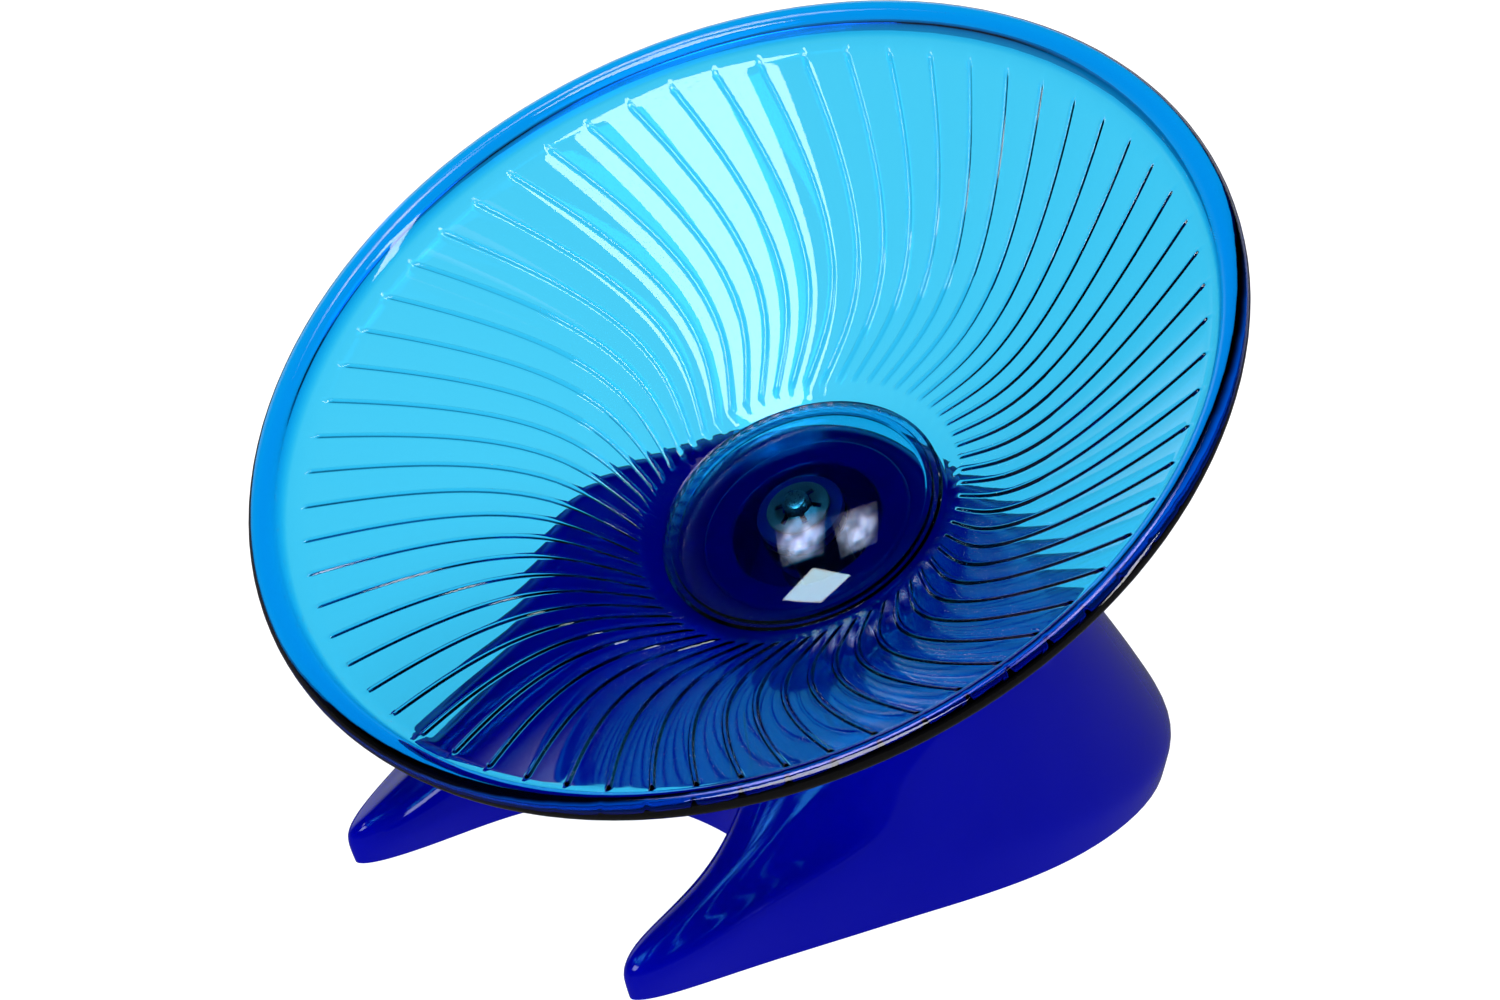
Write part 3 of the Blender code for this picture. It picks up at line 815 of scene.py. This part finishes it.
@dataclass(frozen=True)
class MouldedStand:
    """The blue stand: a hollow smooth shell with two legs and a well for the hub."""

    width: float = 112.0
    back_reach: float = 72.0
    leg_reach: float = 83.0
    wall: float = 2.4
    skirt_height: float = 13.0
    belly_share: float = 0.6
    toe_tuck: float = 3.0
    toe_round: float = 0.8
    toe_share: float = 0.75
    crest_drop: float = 1.4
    back_fall: float = 12.0
    shelf_share: float = 0.3
    platform_radius: float = 23.0
    platform_drop: float = 4.2
    smoothing: int = 3
    well_radius: float = 14.1
    lip_radius: float = 19.5
    lip_drop: float = 2.9
    lip_depth: float = 2.5
    lip_fillet: float = 0.7
    fillet_steps: int = 6
    well_wall: float = 2.4
    well_floor: float = -14.0
    seat_floor: float = -29.0
    seat_radius: float = 2.8
    seat_wall: float = 3.6
    gusset_thickness: float = 2.2
    gusset_height: float = 10.0
    gusset_edge: float = 1.5
    cut_margin: float = 6.0
    steps: int = 128
    leg_tip: int = 9
    leg_pairs: int = 4
    columns: tuple[Column, ...] = (
        Column(0.00, 1.027, 0.62, 0.68, 0.80, 0.00, 0.420, 0.72),
        Column(0.52, 0.955, 0.62, 0.66, 0.78, 0.375, 0.380, 0.80),
        Column(0.90, 0.680, 0.60, 0.52, 0.62, 0.68, 0.250, 0.72),
        Column(1.03, 0.240, 0.80, 0.40, 0.62, 0.81, 0.055, 0.37),
        Column(0.975, -0.080, 1.10, 0.15, 0.50, 0.885, -0.090, 0.08),
        Column(0.92, -0.245, 1.60, 0.06, 0.40, 0.89, -0.205, 0.00),
        Column(0.87, -0.410, 1.50, 0.42, 0.10, 0.75, -0.375, 0.48),
        Column(0.79, -0.640, 1.10, 0.42, 0.12, 0.63, -0.600, 0.56),
        Column(0.735, -0.880, 0.60, 0.38, 0.30, 0.635, -0.830, 0.40),
        Column(0.64, -1.005, 0.40, 0.36, 0.62, 0.61, -0.935, 0.26),
        Column(0.54, -0.910, 0.50, 0.25, 0.60, 0.58, -0.840, 0.44),
        Column(0.515, -0.750, 0.50, 0.30, 0.60, 0.565, -0.680, 0.59),
        Column(0.49, -0.600, 0.70, 0.30, 0.60, 0.53, -0.560, 0.50),
        Column(0.43, -0.440, 1.00, 0.35, 0.60, 0.38, -0.400, 0.15),
        Column(0.26, -0.315, 1.00, 0.40, 0.60, 0.21, -0.325, 0.00),
        Column(0.00, -0.285, 1.00, 0.40, 0.60, 0.00, -0.300, 0.00),
    )

    def plane_height(self, hub: HubPlace, along: float, drop: float) -> float:
        """Return the height in millimetres of a plane dropped below the hub floor."""
        return hub.centre.z / MM + (along * math.sin(hub.tilt) - drop) / math.cos(hub.tilt)

    def floor_place(self, side: float, along: float) -> Vector:
        """Return a place on the floor from shares of the half width and the reach."""
        return Vector((side * self.width / 2, along * (self.back_reach if along > 0 else self.leg_reach), 0))

    def column_points(self, column: Column, hub: HubPlace) -> list[Vector]:
        """Return one column's points, from its belly near the floor to the top edge."""
        outline = self.floor_place(column.side, column.along)
        top = self.floor_place(column.top_side, column.top_along)
        top.z = self.plane_height(hub, top.y, self.crest_drop + self.back_fall * column.fall)
        low = outline + Vector((0, 0, self.skirt_height * column.skirt))
        flank = outline.lerp(top, column.flank_in)
        flank.z = low.z + (top.z - low.z) * column.flank_up
        return [outline.lerp(low, self.belly_share), low, flank, top]

    def tucked_place(self, before: Vector, here: Vector, after: Vector) -> Vector:
        """Return the place under the floor of an outline point, tucked in across the outline."""
        run = after - before
        reach = max(0.0, -here.y / self.leg_reach - self.toe_share) / (1 - self.toe_share)
        inward = Vector((run.y, -run.x, 0)).normalized() * self.toe_tuck * (1 + self.toe_round * reach)
        return Vector((here.x, here.y, 0)) + inward - Vector((0, 0, self.cut_margin))

    def cage(self, hub: HubPlace) -> list[list[Vector]]:
        """Return the cage's columns all the way round, mirrored from the half that is described."""
        half = [self.column_points(column, hub) for column in self.columns]
        columns = half + [[Vector((-p.x, p.y, p.z)) for p in column] for column in half[-2:0:-1]]
        feet = []
        for k, column in enumerate(columns):
            after = columns[(k + 1) % len(columns)]
            feet.append(self.tucked_place(columns[k - 1][0], column[0], after[0]))
        return [[foot] + column for foot, column in zip(feet, columns)]

    def platform_ring(self, hub: HubPlace, radius: float, count: int) -> list[Vector]:
        """Return points evenly round a circle on the tilted platform, from the back clockwise."""
        turn = Matrix.Rotation(hub.tilt, 3, "X")
        points = []
        for k in range(count):
            angle = math.pi / 2 - math.tau * k / count
            local = Vector((radius * math.cos(angle), radius * math.sin(angle), -self.platform_drop))
            points.append(turn @ local + Vector((0, 0, hub.centre.z / MM)))
        return points

    def close_legs(self, bm: bmesh.types.BMesh, top: Ring) -> Ring:
        """Close the top of both legs across their columns, and return the loop that stays open."""
        taken: set[int] = set()
        for tip in (self.leg_tip, len(top) - self.leg_tip):
            bm.faces.new((top[tip - 1], top[tip], top[tip + 1]))
            for k in range(1, self.leg_pairs):
                bm.faces.new((top[tip - k - 1], top[tip - k], top[tip + k], top[tip + k + 1]))
            taken.update(range(tip - self.leg_pairs + 1, tip + self.leg_pairs))
        return [vert for k, vert in enumerate(top) if k not in taken]

    def skin(self, hub: HubPlace) -> Object:
        """Return the smoothed outer skin with its wall, open below the floor."""
        columns = self.cage(hub)
        bm = bmesh.new()
        rows = [[bm.verts.new(column[j] * MM) for column in columns] for j in range(len(columns[0]))]
        for near, far in zip(rows, rows[1:]):
            join_rings(bm, near, far)
        edge = self.close_legs(bm, rows[-1])
        platform = self.platform_ring(hub, self.platform_radius, len(edge))
        middle = self.platform_ring(hub, self.well_radius, len(edge))
        pairs = zip(edge, platform)
        shelf = [bm.verts.new(vert.co.lerp(point * MM, self.shelf_share)) for vert, point in pairs]
        rim = [bm.verts.new(point * MM) for point in platform]
        core = [bm.verts.new(point * MM) for point in middle]
        for near, far in ((edge, shelf), (shelf, rim), (rim, core)):
            join_rings(bm, near, far)
        bm.faces.new(core)
        item = shown("stand_skin", plain_mesh("stand_skin", bm))
        item.location = (0, hub.centre.y, 0)
        smooth = item.modifiers.new("smooth", "SUBSURF")
        smooth.levels = smooth.render_levels = self.smoothing
        wall = item.modifiers.new("wall", "SOLIDIFY")
        wall.thickness = self.wall * MM
        wall.offset = -1
        wall.use_even_offset = True
        return item

    def gusset(self, name: str, angle: float) -> Mesh:
        """Return a plate through the axle's seat tube that stiffens it under the well."""
        well_base = self.well_floor - self.well_wall
        reach, foot = self.well_radius, self.seat_radius + self.seat_wall
        top, low = well_base + self.well_wall / 2, well_base - self.gusset_height
        edge = well_base - self.gusset_edge
        outline = [(reach, top), (-reach, top), (-reach, edge), (-foot, low), (foot, low), (reach, edge)]
        half = self.gusset_thickness / 2
        bm = bmesh.new()
        sides = [[bm.verts.new((x * MM, y * MM, z * MM)) for x, z in outline] for y in (-half, half)]
        join_rings(bm, *sides)
        for side in sides:
            bm.faces.new(side)
        mesh = plain_mesh(name, bm)
        mesh.transform(Matrix.Rotation(angle, 4, "Z"))
        return mesh

    def tools(self) -> list[tuple[str, Mesh]]:
        """Return the meshes that are joined to the skin or cut from it, on the hub's axes."""
        seat = self.seat_radius + self.seat_wall
        cup = self.well_radius + self.well_wall
        base, well_base = -self.lip_drop - self.lip_depth, self.well_floor - self.well_wall
        foot = self.seat_floor - self.well_wall
        fillet, high = self.lip_fillet, -self.lip_drop - self.lip_fillet
        lip = arc((self.lip_radius - fillet, high), fillet, fillet, 0, 90, self.fillet_steps)
        boss = [(0, foot), (seat, foot), (seat, well_base), (cup, well_base), (cup, base),
                (self.lip_radius, base), *lip, (0, -self.lip_drop)]
        side, floor, bore = self.well_radius, self.well_floor, self.seat_radius
        mouth = arc((side + fillet, high), fillet, fillet, 180, 90, self.fillet_steps)
        well = [(0, self.seat_floor), (bore, self.seat_floor), (bore, floor), (side - 0.8, floor),
                (side - 0.2, floor + 0.2), (side, floor + 0.8), *mouth,
                (side + fillet, self.cut_margin), (0, self.cut_margin)]
        return [
            ("UNION", turned_mesh("well_boss", boss, self.steps, bored=False)),
            ("UNION", self.gusset("gusset_plate_1", math.pi / 4)),
            ("UNION", self.gusset("gusset_plate_2", 3 * math.pi / 4)),
            ("DIFFERENCE", turned_mesh("well_cutter", well, self.steps, bored=False)),
        ]

    def floor_block(self) -> Mesh:
        """Return the block that cuts the stand flat where it meets the floor."""
        bm = bmesh.new()
        bmesh.ops.create_cube(bm, size=1)
        mesh = plain_mesh("floor_cutter", bm)
        length = self.back_reach + self.leg_reach
        sides = (2 * self.width * MM, 2 * length * MM, 2 * self.cut_margin * MM, 1)
        mesh.transform(Matrix.Diagonal(sides))
        mesh.transform(Matrix.Translation((0, 0, -self.cut_margin * MM)))
        return mesh

    def build(self, hub: HubPlace, finish: Material) -> Object:
        """Return the finished stand."""
        skin = self.skin(hub)
        skin_place = Matrix.Translation(skin.location)
        steps = [(operation, mesh, hub.matrix) for operation, mesh in self.tools()]
        steps.append(("DIFFERENCE", self.floor_block(), skin_place))
        used = []
        for operation, mesh, move in steps:
            mesh.transform(move)
            tool = shown(mesh.name, mesh)
            change = skin.modifiers.new(mesh.name, "BOOLEAN")
            change.operation = operation
            change.solver = "EXACT"
            change.use_self = True
            change.object = tool
            used.append(tool)
        mesh = settled(skin)
        for tool in used:
            bpy.data.objects.remove(tool, do_unlink=True)
        mesh.transform(skin_place)
        bm = bmesh.new()
        bm.from_mesh(mesh)
        bmesh.ops.triangulate(bm, faces=[face for face in bm.faces if len(face.verts) > 4])
        piece = Piece("stand_moulding", Body.STAND, Slot.STAND_BLUE, "stand")
        return piece.place(plain_mesh(piece.name, bm, smooth_below=32.0), finish, Matrix.Identity(4))


# The studio


@dataclass(frozen=True)
class Softbox:
    """A soft rectangular light that faces the wheel."""

    name: str
    towards: tuple[float, float, float]
    distance: float
    width: float
    height: float
    power: float
    in_reflections: bool = True
    hot_centre: bool = False
    colour: str = "#FFFFFF"
    fade_span: Point = (0.15, 0.56)
    fade_glow: Point = (1.3, 0.1)
    fold_scale: float = 3.5
    fold_span: Point = (0.35, 0.65)
    fold_glow: Point = (0.45, 1.5)

    def fade_edges(self, data: bpy.types.AreaLight) -> None:
        """Make the light's cloth brightest in the middle and uneven, as one lamp behind it does."""
        data.use_nodes = True
        tree = data.node_tree
        place = add_node(tree, "ShaderNodeNewGeometry").outputs["Parametric"]
        off = add_node(tree, "ShaderNodeVectorMath", {"operation": "DISTANCE"},
                       {0: place, 1: (0.5, 0.5, 0.0)})
        fade = mapped(tree, off.outputs["Value"], self.fade_span, self.fade_glow, smooth=True)
        folds = add_node(tree, "ShaderNodeTexNoise", None,
                         {"Vector": place, "Scale": self.fold_scale, "Detail": 1.0})
        uneven = mapped(tree, folds.outputs["Fac"], self.fold_span, self.fold_glow)
        feed(tree, tree.nodes["Emission"], {"Strength": product(tree, fade, uneven)})

    def build(self, target: Vector) -> Object:
        """Hang the light in the direction given from the target, facing it."""
        data = bpy.data.lights.new(self.name, "AREA")
        data.shape = "RECTANGLE"
        data.size, data.size_y = self.width, self.height
        data.energy = self.power
        data.color = linear(self.colour)[:3]
        if self.hot_centre:
            self.fade_edges(data)
        item = bpy.data.objects.new(self.name, data)
        bpy.context.collection.objects.link(item)
        way = Vector(self.towards).normalized()
        item.location = target + way * self.distance
        item.rotation_mode = "QUATERNION"
        item.rotation_quaternion = way.to_track_quat("Z", "Y")
        item.visible_glossy = item.visible_transmission = self.in_reflections
        return item


@dataclass(frozen=True)
class Studio:
    """A pale seamless floor, soft lights and the camera at the photograph's angle."""

    floor_size: float = 8.0
    floor_colour: str = "#888888"
    floor_glow: float = 0.92
    seen_glow: float = 1.1
    mirrored_floor: float = 0.12
    camera_place: tuple[float, float, float] = (1.5708, -1.7216, 1.2384)
    view_way: tuple[float, float, float] = (-0.6020, 0.6596, -0.4500)
    turn_about_axle: float = 2.3
    lens: float = 345.8
    sensor: float = 36.0
    target: tuple[float, float, float] = (0.0, 0.0, 0.06)
    mirrored_colour: str = "#E8EEFA"
    soft_colour: str = "#DDE6F5"
    soft_glow: float = 0.10
    room_height: Point = (0.25, 0.5)
    wall_way: tuple[float, float, float] = (-0.55, 0.83, 0.0)
    wall_span: Point = (0.42, 0.75)
    wall_glow: Point = (0.05, 1.0)
    haze_height: Point = (0.0, 0.4)
    haze_glow: Point = (0.6, 0.08)
    lights: tuple[Softbox, ...] = (
        Softbox("front_softbox", (0.05, -0.62, 0.78), 1.3, 0.5, 0.5, 6.5),
        Softbox("window_left", (-0.370, -0.300, 0.879), 1.3, 0.44, 0.32, 3.0,
                hot_centre=True, colour="#FFE9FF"),
        Softbox("window_right", (-0.100, -0.140, 0.985), 1.3, 0.50, 0.36, 3.4,
                hot_centre=True, colour="#FFE9FF"),
        Softbox("side_softbox", (0.86, 0.17, 0.42), 1.3, 0.16, 0.7, 3.0),
        Softbox("ceiling_fill", (0.0, 0.0, 1.0), 2.0, 2.6, 2.6, 8.0, in_reflections=False),
        Softbox("front_fill", (0.6, -0.7, 0.4), 2.2, 1.6, 1.6, 0.8, in_reflections=False),
    )

    def mirrored_ray(self, tree: NodeTree) -> NodeSocket:
        """Return 1 for a ray that a gloss has mirrored, and 0 for one that only came through walls."""
        depth = add_node(tree, "ShaderNodeLightPath").outputs["Glossy Depth"]
        return add_node(tree, "ShaderNodeMath", {"operation": "MINIMUM"}, {0: depth, 1: 1.0}).outputs["Value"]

    def build_floor(self) -> Object:
        """Return the pale floor, which glows a little and is dim where a gloss mirrors it."""
        bm = bmesh.new()
        bmesh.ops.create_grid(bm, x_segments=8, y_segments=8, size=self.floor_size / 2)
        mesh = plain_mesh("studio_floor", bm)
        material, tree, shader = new_material("matt_paper")
        mirrored = self.mirrored_ray(tree)
        camera_ray = add_node(tree, "ShaderNodeLightPath").outputs["Is Camera Ray"]
        seen = mapped(tree, camera_ray, WHOLE, (self.floor_glow, self.seen_glow))
        glow = mapped(tree, mirrored, WHOLE, (seen, self.mirrored_floor * self.floor_glow))
        paper = linear(self.floor_colour)
        dim = (*(self.mirrored_floor * share for share in paper[:3]), 1.0)
        feed(tree, shader, {"Base Color": blend(tree, mirrored, paper, dim), "Roughness": 0.9,
                            "Specular IOR Level": 0.1, "Emission Color": WHITE, "Emission Strength": glow})
        mesh.materials.append(material)
        floor = shown("studio_floor", mesh)
        return floor

    def build_world(self) -> None:
        """Give the room: white to the camera, a haze through clear walls, and one mirrored back wall."""
        world = bpy.data.worlds.new("room")
        bpy.context.scene.world = world
        world.use_nodes = True
        tree = world.node_tree
        tree.nodes.clear()
        path = add_node(tree, "ShaderNodeLightPath")
        way = add_node(tree, "ShaderNodeTexCoord").outputs["Generated"]
        up = add_node(tree, "ShaderNodeSeparateXYZ", None, {"Vector": way}).outputs["Z"]
        behind = add_node(tree, "ShaderNodeVectorMath", {"operation": "DOT_PRODUCT"},
                          {0: way, 1: self.wall_way})
        height = mapped(tree, up, self.room_height, (1.0, 0.0), smooth=True)
        wall = mapped(tree, behind.outputs["Value"], self.wall_span, self.wall_glow, smooth=True)
        haze = mapped(tree, up, self.haze_height, self.haze_glow, smooth=True)
        soft_colour = linear(self.soft_colour)
        glows = ((linear(self.mirrored_colour), product(tree, height, wall)), (soft_colour, self.soft_glow),
                 (soft_colour, haze), (WHITE, 1.0))
        mirrored, soft, through, pale = (
            add_node(tree, "ShaderNodeBackground", None, {"Color": colour, "Strength": strength}).outputs[0]
            for colour, strength in glows)
        seen = soft
        for ray, glow in ((path.outputs["Is Transmission Ray"], through), (self.mirrored_ray(tree), mirrored),
                          (path.outputs["Is Camera Ray"], pale)):
            seen = add_node(tree, "ShaderNodeMixShader", None, {0: ray, 1: seen, 2: glow}).outputs[0]
        add_node(tree, "ShaderNodeOutputWorld", None, {"Surface": seen})
        world.cycles.sampling_method = "NONE"

    def build_camera(self, hub: HubPlace) -> Object:
        """Return the camera, swung a little round the axle from the place given."""
        data = bpy.data.cameras.new("camera")
        data.lens = self.lens
        data.sensor_width = self.sensor
        data.clip_start, data.clip_end = 0.05, 50.0
        camera = bpy.data.objects.new("camera", data)
        bpy.context.collection.objects.link(camera)
        upright = Vector(self.view_way).to_track_quat("-Z", "Y").to_matrix().to_4x4()
        axle = hub.matrix.to_3x3() @ Vector((0, 0, 1))
        swing = Matrix.Rotation(math.radians(self.turn_about_axle), 4, axle)
        about_hub = Matrix.Translation(hub.centre) @ swing @ Matrix.Translation(-hub.centre)
        camera.matrix_world = about_hub @ Matrix.Translation(self.camera_place) @ upright
        bpy.context.scene.camera = camera
        return camera

    def build(self, hub: HubPlace) -> None:
        """Set the floor, the lights and the camera."""
        self.build_floor()
        self.build_world()
        for light in self.lights:
            light.build(Vector(self.target))
        self.build_camera(hub)
        bpy.context.scene.view_settings.view_transform = "Standard"


# Assembly


def main() -> None:
    """Build the wheel and the studio in order."""
    logging.basicConfig(level=logging.INFO, format="%(name)s: %(message)s")
    hub = HubPlace.of_joint(frame["joints"][0])
    clear = ClearPolystyrene().build("clear_tinted_polystyrene")
    blue = GlossyStyrene().build("glossy_blue_polystyrene")
    steel = BrightSteel().build("bright_drawn_steel")
    spring_steel = BrightSteel(colour="#9FA3AA", shade="#85898F", roughness=0.3).build("blanked_spring_steel")
    nylon = TurnedNylon().build("turned_natural_nylon")
    blue_nylon = TurnedNylon(colour="#000C90", shade="#000878", roughness=0.3).build("dyed_blue_nylon")
    steps: list[tuple[str, Callable[[], object]]] = [
        ("stand", lambda: MouldedStand().build(hub, blue)),
        ("axle parts", lambda: AxleParts().build(hub, steel, spring_steel, nylon, blue_nylon)),
        ("saucer dish", lambda: SaucerDish().build(hub, clear)),
        ("dome cap", lambda: DomeCap().build(hub, clear)),
        ("studio", lambda: Studio().build(hub)),
    ]
    for name, build in steps:
        build()
        LOG.info("%s done", name)


if __name__ == "__main__":
    main()
